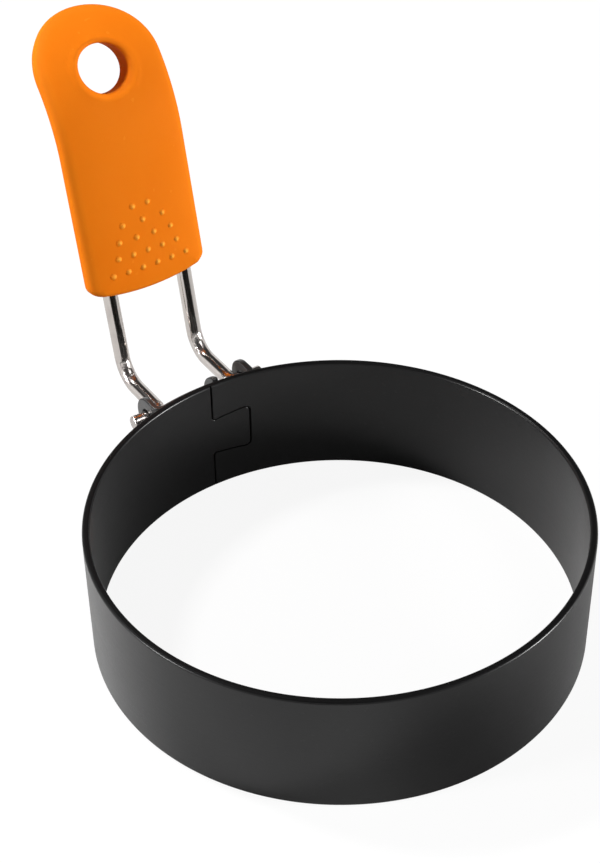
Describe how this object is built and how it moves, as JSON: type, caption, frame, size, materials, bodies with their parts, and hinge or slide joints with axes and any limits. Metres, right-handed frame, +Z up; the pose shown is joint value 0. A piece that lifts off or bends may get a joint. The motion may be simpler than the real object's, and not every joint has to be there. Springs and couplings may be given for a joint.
{
  "type": "egg ring",
  "caption": "Round black non-stick steel egg ring with a folding chromed wire handle in an orange silicone grip that has raised dots and a hanging hole",
  "frame": {"origin": "middle of the bottom of the part's box, on the surface that the ring stands on, with the handle up as in the picture", "axes": "+Z up, +Y from the ring towards its handle, X along the handle's hinge line"},
  "size_m": [0.075, 0.1114, 0.0719],
  "materials": {
    "black_nonstick_steel": "satin black non-stick coating",
    "black_bracket_steel": "satin black coating",
    "chromed_wire": "bright chrome plating with fine drawing and bending marks",
    "orange_silicone": "soft matt orange silicone"
  },
  "bodies": {
    "ring": {"ring_band": "black_nonstick_steel", "hinge_bracket": "black_bracket_steel"},
    "handle": {"wire_bail": "chromed_wire", "silicone_grip": "orange_silicone"}
  },
  "joints": [
    {"name": "handle_fold", "type": "hinge", "parent": "ring", "child": "handle", "pos_m": [0, 0.022, 0.0161], "axis": [1, 0, 0], "range_deg": [-70, 100]}
  ]
}
